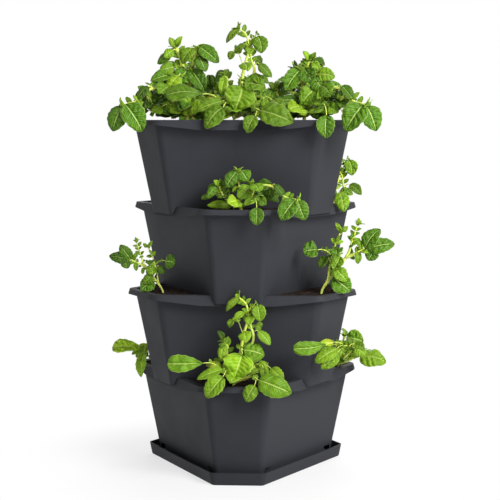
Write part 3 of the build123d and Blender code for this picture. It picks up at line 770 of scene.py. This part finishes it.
def bare_crust(tier, level):
    """Slab under the soil that shows in a tier, as an object of its own."""
    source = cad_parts[f"soil_{tier}"]
    crust = source.copy()
    crust.data = source.data.copy()
    crust.parent = None
    bpy.context.scene.collection.objects.link(crust)
    for key in [key for key in crust.keys() if key.startswith("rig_")]:
        del crust[key]
    activate(crust)
    bpy.ops.object.mode_set(mode="EDIT")
    bpy.ops.mesh.select_all(action="SELECT")
    bpy.ops.mesh.remove_doubles(threshold=0.00001)
    bpy.ops.mesh.select_mode(type="FACE")
    bpy.ops.mesh.select_all(action="DESELECT")
    bpy.ops.object.mode_set(mode="OBJECT")
    for face in crust.data.polygons:
        face.select = face.normal.z < 0.99 or face.center.z < level - 0.001
    bpy.ops.object.mode_set(mode="EDIT")
    bpy.ops.mesh.delete(type="FACE")
    bpy.ops.mesh.select_all(action="SELECT")
    bpy.ops.mesh.extrude_region_move(TRANSFORM_OT_translate={"value": (0, 0, -CRUST_DEPTH)})
    bpy.ops.mesh.select_all(action="SELECT")
    bpy.ops.mesh.normals_make_consistent(inside=False)
    bpy.ops.object.mode_set(mode="OBJECT")
    return crust


def new_clod(place, rng):
    """One dented clod, sunk a little into the crust."""
    x, y, z = place
    size = CLOD_SIZE[0] + CLOD_SIZE[1] * rng.random() ** 3
    low = z - CLOD_SUNK * size
    bpy.ops.mesh.primitive_ico_sphere_add(subdivisions=2, radius=size, location=(x, y, low))
    clod = bpy.context.object
    shape = points_of(clod.data)
    stretch = np.array([rng.uniform(*share) for share in (CLOD_ACROSS, CLOD_ACROSS, CLOD_UPWARDS)])
    for index, point in enumerate(shape):
        dent = noise.noise(Vector(point) / size * CLOD_DENTS + Vector((x, y, z)) * 900)
        shape[index] = point * stretch * (1 + CLOD_DENT * dent)
    set_points(clod.data, shape)
    return clod


def soil_surface(tier, settings, material):
    """Crumbly surface over the soil that shows in a tier, with loose clods on it."""
    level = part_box(f"soil_{tier}")[1].z
    voxel = CRUST_VOXEL[tier == TIERS]
    crust = bare_crust(tier, level)
    apply_modifier(crust, "REMESH", mode="VOXEL", voxel_size=voxel)
    points = points_of(crust.data)
    top = points[:, 2] > level - voxel
    even, lumpy, specked = RISE_SHARES
    for index in np.flatnonzero(top):
        x, y, _ = points[index]
        lump = noise.fractal(Vector((x * LUMPS, y * LUMPS, tier * 9.0)), 1.0, 2.0, 4)
        speck = noise.noise(Vector((x * SPECKS, y * SPECKS, tier * 5.0)))
        rise = settings.heap * (even + lumpy * lump + specked * speck)
        points[index][2] = level + min(max(rise, LEAST_RISE), settings.heap)
    set_points(crust.data, points)
    ground = points[top]
    rng = random.Random(f"clods {tier}")
    count = settings.clods if tier < TIERS else 2 * settings.clods
    pieces = [crust]
    for _ in range(count):
        pieces.append(new_clod(ground[rng.randrange(len(ground))], rng))
    activate(*pieces)
    bpy.ops.object.transform_apply(location=True, rotation=True, scale=True)
    surface = join(f"soil_surface_{tier}", pieces)
    cover(surface, material)
    bpy.ops.object.shade_smooth()
    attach(surface, f"tier_{tier}")


# Plants

def leaf_blank(name, rows):
    """Flat grid that every leaf is shaped from, with its map along and across."""
    bpy.ops.mesh.primitive_grid_add(x_subdivisions=rows[0], y_subdivisions=rows[1], size=2)
    blank = bpy.context.object
    blank.name = name
    return blank


def leaf_width(along, spoon):
    """Half width of a leaf along its length: an egg with a short point, or a spoon."""
    base, point = SPOON if spoon else EGG
    widest = base / (base + point)
    full = (along / widest) ** base * ((1 - along) / (1 - widest)) ** point
    return np.maximum(full, LEAST_WIDTH)


def leaf_shape(grid, length, width, spoon, folds, rng):
    """Points of one leaf on its own axes: along it, across it and up from its face."""
    along = (grid[:, 0] + 1) / 2
    across = grid[:, 1]
    aside = np.abs(across)
    half = width / 2 * leaf_width(along, spoon)
    half = half * (1 + EDGE_WAVE * np.sin(2 * pi * EDGE_WAVES * along + rng.uniform(*WAVE_START)))
    fold = rng.uniform(*folds)
    arch = rng.uniform(*ARCH)
    droop = rng.uniform(*DROOP)
    sway = rng.uniform(*SWAY)
    x = length * along
    y = half * across * (1 - 0.2 * abs(fold)) + sway * length * np.sin(pi * along)
    z = arch * length * 4 * along * (1 - along) - droop * length * along**3
    z = z + fold * half * aside**1.4
    phase = SIDE_VEINS * along - VEIN_SLANT * aside
    puff = np.abs(np.sin(pi * (phase - 0.5)))
    z = z + PUFF * width * puff * smoothstep(0.05, 0.3, aside) * smoothstep(1.0, 0.7, aside)
    inside = smoothstep(0.0, 0.3, aside) * (1 - 0.7 * smoothstep(0.6, 1.0, aside))
    for _ in range(CRINKLES):
        wave = rng.uniform(*CRINKLE_ALONG) * along + rng.uniform(*CRINKLE_ACROSS) * across + rng.random()
        z = z + CRINKLE * width * np.sin(2 * pi * wave) * inside
    for side in (1, -1):
        ripple = np.sin(2 * pi * rng.uniform(*RIPPLES) * along + rng.uniform(*WAVE_START))
        z = z + rng.uniform(*RIPPLE) * width * ripple * np.where(across * side > 0, aside**2, 0)
    return np.stack([x, y, z], axis=1)


def axes_of(along, facing, roll):
    """Along, across and normal of a leaf, turned about its own line by roll."""
    along = along.normalized()
    normal = (facing - along * along.dot(facing)).normalized()
    normal = Matrix.Rotation(roll, 3, along) @ normal
    return along, normal.cross(along), normal


def smooth_line(points, steps=6):
    """Points of a smooth line through the given ones."""
    ends = [points[0] * 2 - points[1], *points, points[-1] * 2 - points[-2]]
    line = []
    for before, here, after, beyond in zip(ends, ends[1:], ends[2:], ends[3:]):
        for step in range(steps):
            t = step / steps
            a = (after - before) * 0.5
            b = (beyond - here) * 0.5
            line.append(
                here * (2 * t**3 - 3 * t**2 + 1)
                + a * (t**3 - 2 * t**2 + t)
                + after * (3 * t**2 - 2 * t**3)
                + b * (t**3 - t**2)
            )
    return line + [points[-1]]


def add_tube(curve, line, radii):
    """Round stalk along a line, with a radius at each point."""
    spline = curve.splines.new("POLY")
    spline.points.add(len(line) - 1)
    for point, place, radius in zip(spline.points, line, radii):
        point.co = (*place, 1)
        point.radius = radius


def nearest(lines, place):
    """Point of several lines that is nearest to a place."""
    return min((point for line in lines for point in line), key=lambda point: (point - place).length)


class PlantMaker:
    """Grows one plant: its stems and stalks as tubes, its leaves from the blank grids."""

    def __init__(self, name, blanks, materials):
        tier, form, place, turn, size, side = PLANTS[name]
        self.name = name
        self.tier = tier
        self.form = form
        self.size = size
        # Painted light on plant_1_left's leaves, a darker tone on plant_top_centre's
        self.light = PLANT_TONE_AND_PAINTED_LIGHT.get(name, 1.0)
        self.stems, self.leaves = FORMS[form]
        self.rng = random.Random(name)
        self.blanks = blanks
        self.materials = materials
        turn = radians(turn)
        self.right = Vector((cos(turn), sin(turn), 0)) * side
        self.out = Vector((sin(turn), -cos(turn), 0))
        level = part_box(f"soil_{tier}")[1].z
        angle, distance, aside = place
        heading = radians(angle)
        away = Vector((cos(heading), sin(heading), 0)) * distance
        across = Vector((sin(heading), -cos(heading), 0)) * aside
        self.foot = (away + across) * MM + UP * level
        self.curve = bpy.data.curves.new(name + "_stems", "CURVE")
        self.lines = []
        self.made = []

    def turn(self, point):
        """Direction in the tower's frame of a point of the form."""
        return self.right * point[0] + self.out * point[1] + UP * point[2]

    def at(self, point):
        """Place in the tower's frame of a point of the form."""
        return self.foot + self.turn(point) * (self.size * MM)

    def grow_stems(self):
        """Tapered stems, the first of each rooted in the soil or in the stem that carries it."""
        for points in self.stems:
            rooted = points[0] == (0, 0, 0)
            nodes = [self.at(point) for point in points]
            if rooted:
                nodes[0] = nodes[0] - UP * ROOT_DEPTH
            line = smooth_line(nodes)
            if self.lines and not rooted:
                line[0] = nearest(self.lines, line[0])
            thick = STEM_RADIUS * self.size * MM
            share = np.linspace(0, len(points) - 1, len(line))
            add_tube(self.curve, line, thick * STEM_TAPER**share)
            self.lines.append(line)

    def add_leaf(self, kind, base, tip, width, facing, tone, roll, spoon=False, folds=FLAT):
        """One leaf from the blank of its kind: a leaflet, a small leaf or a large one."""
        blank, grid = self.blanks[kind]
        mesh = blank.data.copy()
        leaf = bpy.data.objects.new("leaf", mesh)
        bpy.context.scene.collection.objects.link(leaf)
        axes = np.array([list(axis) for axis in axes_of(tip - base, facing, roll)])
        shape = leaf_shape(grid, (tip - base).length, width, spoon, folds, self.rng)
        set_points(mesh, shape @ axes + np.array(base))
        # Brightness of the leaf: a random tone, times its plant's factor, which is painted light on
        # plant_1_left
        light = self.light * self.rng.uniform(*(SMALL_LIGHT if width < LARGE_LEAF else LARGE_LIGHT))
        age = min(max(tone + self.rng.uniform(-TONE_SPREAD, TONE_SPREAD), 0), 1)
        values = np.tile([age, light, 0, 1], len(mesh.vertices))
        mesh.attributes.new(TONE, "FLOAT_COLOR", "POINT").data.foreach_set("color", values)
        self.made.append(leaf)

    def grow_leaf(self, start, base, tip, width, tone, spoon=False, folds=FLAT):
        """Leaf on a curved stalk that runs on as its midrib, with leaflets where the stalk is long."""
        start, base, tip = self.at(start), self.at(base), self.at(tip)
        start = nearest(self.lines, start)
        reach = (base - start).length
        lead = (tip - base).normalized()
        bend = base - lead * (STALK_BEND[0] * reach) + UP * (STALK_BEND[1] * reach)
        line = []
        for step in range(STALK_STEPS + 1):
            t = step / STALK_STEPS
            line.append(start * (1 - t) ** 2 + bend * (2 * t * (1 - t)) + base * t**2)
        thick = STALK_RADIUS * MM * (STALK_GROWTH[0] + STALK_GROWTH[1] * width) * self.size
        add_tube(self.curve, line, np.linspace(STALK_TAPER[0] * thick, STALK_TAPER[1] * thick, len(line)))
        facing = self.turn(LEAF_FACING)
        hanging = tip.z < self.foot.z + HANGING_TIP
        roll = self.rng.uniform(-1, 1) * (HANGING_ROLL if hanging else ROLL)
        kind = sum(width > step for step in LEAF_STEPS)
        width = width * self.size * LEAF_BREADTH * MM
        self.add_leaf(kind, base, tip, width, facing, tone, roll, spoon, folds)
        if reach > LONG_STALK:
            for share in STALK_PAIRS:
                self.grow_pair(line, share, facing, tone)

    def grow_pair(self, line, share, facing, tone, lengths=LEAFLET_LENGTH):
        """Two small leaflets that face each other on a stalk or a stem."""
        rng = self.rng
        spot = min(int(share * (len(line) - 1)), len(line) - 2)
        place = line[spot]
        lead = (line[spot + 1] - place).normalized()
        aside = facing.cross(lead).normalized()
        for side in (1, -1):
            length = rng.uniform(*lengths) * self.size
            tip = place + (lead * 0.45 + aside * side + UP * rng.uniform(-0.1, 0.5)).normalized() * length
            roll = rng.uniform(-0.4, 0.4)
            self.add_leaf(0, place, tip, length * LEAFLET_BREADTH, facing, tone, roll)

    def grow_fillers(self):
        """Smaller leaves between the others, inside the space that the plant takes."""
        rng = self.rng
        tips = [tip for _, _, tip, *_ in self.leaves if tip[2] > FILLER_LOWEST and tip[1] < FILLER_OUT]
        share = FILLER_SHARE[0] if self.form.startswith("bushy") else FILLER_SHARE[1]
        for _ in range(round(share * len(tips))):
            first, second = rng.sample(tips, 2)
            tip = Vector(first).lerp(Vector(second), rng.uniform(0.25, 0.75))
            tip.y -= rng.uniform(FILLER_NEAR, FILLER_BACK[self.tier == TIERS])
            start = min(sum(self.stems, []), key=lambda point: (Vector(point) - tip).length)
            lead = tip - Vector(start)
            length = min(max(0.75 * lead.length, FILLER_LENGTH[0]), FILLER_LENGTH[1])
            base = tip - lead.normalized() * length + Vector((0, 0, rng.uniform(0, 5)))
            width = length * rng.uniform(*FILLER_BREADTH) / LEAF_BREADTH
            tone = rng.choice(FILLER_TONES)
            self.grow_leaf(start, tuple(base), tuple(tip), width, tone, folds=CURLED)

    def grow_low(self):
        """Low leaves round the foot and under the branch that hide the soil."""
        places = [(LOW_FOOT, LOW_REACH)]
        if SHORT_BRANCH_STEM[0] in self.stems:
            places.append((BRANCH_FOOT, BRANCH_REACH))
        for start, reaches in places:
            for _ in range(LOW_LEAVES):
                self.grow_low_leaf(start, reaches)

    def grow_low_leaf(self, start, reaches):
        """One low leaf, anywhere round its start."""
        rng = self.rng
        angle = rng.uniform(0, 2 * pi)
        reach = rng.uniform(*reaches)
        out = reach * sin(angle) * (0.6 if angle < pi else 1.0)
        share = rng.uniform(0.15, 0.4)
        height = rng.uniform(*LOW_TIP) + 0.2 * max(out, 0)
        tip = (start[0] + reach * cos(angle), start[1] + out, height)
        higher = height + rng.uniform(*LOW_BASE)
        base = (start[0] + share * reach * cos(angle), start[1] + share * out, higher)
        length = reach * (1 - share)
        width = min(length * rng.uniform(*LOW_BREADTH), LOW_WIDEST) / LEAF_BREADTH
        self.grow_leaf(start, base, tip, width, rng.choice(LOW_TONES))

    def grow_tip(self, line):
        """Pairs of leaflets up a stem and a cluster of unfolding ones at its end."""
        rng = self.rng
        for share in STEM_PAIRS:
            tone = rng.choice((FRESH, PALE))
            self.grow_pair(line, share, self.turn(LEAF_FACING), tone, STEM_LEAFLET_LENGTH)
        end = line[-1]
        lead = (line[-1] - line[-3]).normalized()
        aside = lead.cross(self.out).normalized()
        back = lead.cross(aside)
        for number in range(TIP_LEAFLETS):
            angle = 2 * pi * number / TIP_LEAFLETS * TIP_TURNS + rng.uniform(-TIP_JITTER, TIP_JITTER)
            spread = aside * cos(angle) + back * sin(angle)
            length = rng.uniform(*TIP_LENGTH) * self.size
            heading = (lead * rng.uniform(*TIP_LEAN) + spread + UP * 0.25).normalized()
            facing = (lead - heading * 0.4 + UP * 0.2).normalized()
            self.add_leaf(0, end, end + heading * length, length * TIP_BREADTH, facing, PALE, 0.0)

    def finish(self, settings):
        """Joins the stems and leaves into one piece."""
        leaves = join(self.name + "_leaves", self.made)
        apply_modifier(leaves, "SOLIDIFY", thickness=settings.thickness, offset=0, material_offset=1)
        self.curve.dimensions = "3D"
        self.curve.bevel_depth = 1.0
        self.curve.bevel_resolution = 2
        self.curve.use_fill_caps = True
        stems = bpy.data.objects.new(self.name + "_stems", self.curve)
        bpy.context.scene.collection.objects.link(stems)
        activate(stems)
        bpy.ops.object.convert(target="MESH")
        stems = bpy.context.object
        cover(leaves, *self.materials)
        cover(stems, *self.materials)
        for face in stems.data.polygons:
            face.material_index = len(self.materials) - 1
        piece = join("grown_" + self.name, [leaves, stems])
        bpy.ops.object.shade_smooth()
        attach(piece, f"tier_{self.tier}")
        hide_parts(self.name)


# Stage

def seen_directly(tree):
    """1 where the camera, a reflection or a clear material looks straight at it."""
    rays = node(tree, "ShaderNodeLightPath").outputs
    seen = math_node(tree, "MAXIMUM", rays["Is Camera Ray"], rays["Is Glossy Ray"])
    return math_node(tree, "MAXIMUM", seen, rays["Is Transmission Ray"])


def lay_floor(settings):
    """Wide pale floor that turns into the white background away from the tower."""
    bpy.ops.mesh.primitive_plane_add(size=FLOOR_SIZE)
    floor = bpy.context.object
    floor.name = "floor"
    material, tree, shader = new_material("pale_floor")
    shader.inputs["Base Color"].default_value = rgba(settings.floor)
    shader.inputs["Roughness"].default_value = 0.9
    place = node(tree, "ShaderNodeTexCoord").outputs["Object"]
    far = node(tree, "ShaderNodeVectorMath", {0: place}, operation="LENGTH").outputs["Value"]
    fading = step_node(tree, far, *FLOOR_FADES, start=FLOOR_WHITE)
    share = math_node(tree, "MULTIPLY", fading, seen_directly(tree))
    white = node(tree, "ShaderNodeEmission", {"Color": WHITE, "Strength": 1.0})
    blend = node(tree, "ShaderNodeMixShader", {0: share, 1: shader.outputs[0], 2: white.outputs[0]})
    output = next(n for n in tree.nodes if n.type == "OUTPUT_MATERIAL")
    tree.links.new(blend.outputs[0], output.inputs["Surface"])
    cover(floor, material)


def light_world(scene, settings):
    """Even light, stronger from above than from below, white where it is seen."""
    world = bpy.data.worlds.new("studio")
    world.use_nodes = True
    tree = world.node_tree
    tree.nodes.clear()
    place = node(tree, "ShaderNodeTexCoord").outputs["Generated"]
    height = node(tree, "ShaderNodeSeparateXYZ", {0: place}).outputs["Z"]
    even = step_node(tree, height, *HORIZON, start=settings.ground, end=settings.sky)
    strength = node(tree, "ShaderNodeMapRange", {0: seen_directly(tree), 3: even, 4: 1.0})
    sky = node(tree, "ShaderNodeBackground", {"Color": WHITE, "Strength": strength.outputs[0]})
    output = node(tree, "ShaderNodeOutputWorld")
    tree.links.new(sky.outputs[0], output.inputs["Surface"])
    scene.world = world


def add_light(name, place, size, power):
    """Square soft light aimed at the middle of the tower."""
    bpy.ops.object.light_add(type="AREA", location=place)
    light = bpy.context.object
    light.name = name
    light.data.size = size
    light.data.energy = power
    aim = Vector((0, 0, (CAD_BOX[0][2] + CAD_BOX[1][2]) / 2)) - Vector(place)
    light.rotation_euler = aim.to_track_quat("-Z", "Y").to_euler()


def place_camera(scene, settings):
    """Camera at the angle of the photograph."""
    turn = settings.turn
    place = Vector((sin(turn), -cos(turn), 0)) * settings.distance
    aside = Vector((cos(turn), sin(turn), 0)) * settings.aside
    ahead = (aside - place).normalized() * cos(settings.pitch) - UP * sin(settings.pitch)
    bpy.ops.object.camera_add(location=place + UP * settings.height)
    camera = bpy.context.object
    camera.rotation_euler = ahead.to_track_quat("-Z", "Y").to_euler()
    camera.data.lens = settings.lens
    scene.camera = camera


# Operators

class TOWER_OT_planters(bpy.types.Operator):
    """Finish the boxes and the tray in grained plastic"""

    bl_idname = "tower.finish_planters"
    bl_label = "Finish planters"

    def execute(self, context):
        settings = context.scene.potato_tower.planters
        finishes = {
            "planter_box": plastic_material("planter_plastic", settings, 1.0),
            "drip_tray": plastic_material("tray_plastic", settings, 0.92),
        }
        for name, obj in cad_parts.items():
            for start, material in finishes.items():
                if name.startswith(start):
                    cover(obj, material)
        return {"FINISHED"}


class TOWER_OT_soil(bpy.types.Operator):
    """Fill the boxes with soil and lay a crumbly surface on it"""

    bl_idname = "tower.lay_soil"
    bl_label = "Lay soil"

    def execute(self, context):
        settings = context.scene.potato_tower.soil
        material = soil_material(settings)
        for tier in range(1, TIERS + 1):
            cover(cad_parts[f"soil_{tier}"], material)
            soil_surface(tier, settings, material)
        return {"FINISHED"}


class TOWER_OT_plants(bpy.types.Operator):
    """Grow the potato plants"""

    bl_idname = "tower.grow_plants"
    bl_label = "Grow plants"

    def execute(self, context):
        settings = context.scene.potato_tower.plants
        veins = vein_group()
        materials = [
            leaf_material("potato_leaf", settings, veins, underside=False),
            leaf_material("potato_leaf_underside", settings, veins, underside=True),
            stem_material(settings),
        ]
        blanks = [leaf_blank(f"leaf_blank_{number}", rows) for number, rows in enumerate(LEAF_ROWS)]
        shaped = [(blank, points_of(blank.data)) for blank in blanks]
        for name in PLANTS:
            maker = PlantMaker(name, shaped, materials)
            maker.grow_stems()
            for row in maker.leaves:
                maker.grow_leaf(*row)
            maker.grow_fillers()
            if maker.tier == TIERS:
                maker.grow_low()
            for line in maker.lines:
                maker.grow_tip(line)
            maker.finish(settings)
        for blank in blanks:
            bpy.data.objects.remove(blank)
        return {"FINISHED"}


class TOWER_OT_stage(bpy.types.Operator):
    """Set up the floor, the lights and the camera"""

    bl_idname = "tower.set_stage"
    bl_label = "Set stage"

    def execute(self, context):
        settings = context.scene.potato_tower.stage
        lay_floor(settings)
        light_world(context.scene, settings)
        for name, (place, size) in LIGHTS.items():
            add_light(f"{name}_light", place, size, getattr(settings, name))
        place_camera(context.scene, settings)
        context.scene.view_settings.view_transform = "Standard"
        return {"FINISHED"}


class TOWER_PT_panel(bpy.types.Panel):
    """Sizes, colours and steps of the potato tower"""

    bl_label = "Potato tower"
    bl_idname = "TOWER_PT_panel"
    bl_space_type = "VIEW_3D"
    bl_region_type = "UI"
    bl_category = "Potato tower"

    def draw(self, context):
        tower = context.scene.potato_tower
        for name, operator in STEPS.items():
            box = self.layout.box()
            group = getattr(tower, name)
            for key in group.bl_rna.properties.keys():
                if key not in ("rna_type", "name"):
                    box.prop(group, key)
            box.operator(operator.bl_idname)


STEPS = {
    "planters": TOWER_OT_planters,
    "soil": TOWER_OT_soil,
    "plants": TOWER_OT_plants,
    "stage": TOWER_OT_stage,
}
CLASSES = (
    TowerPlanterSettings,
    TowerSoilSettings,
    TowerPlantSettings,
    TowerStageSettings,
    TowerSettings,
    *STEPS.values(),
    TOWER_PT_panel,
)


def register():
    for item in CLASSES:
        bpy.utils.register_class(item)
    bpy.types.Scene.potato_tower = bpy.props.PointerProperty(type=TowerSettings)


def unregister():
    del bpy.types.Scene.potato_tower
    for item in reversed(CLASSES):
        bpy.utils.unregister_class(item)


def main():
    register()
    bpy.ops.tower.finish_planters()
    bpy.ops.tower.lay_soil()
    bpy.ops.tower.grow_plants()
    bpy.ops.tower.set_stage()


if __name__ == "__main__":
    main()
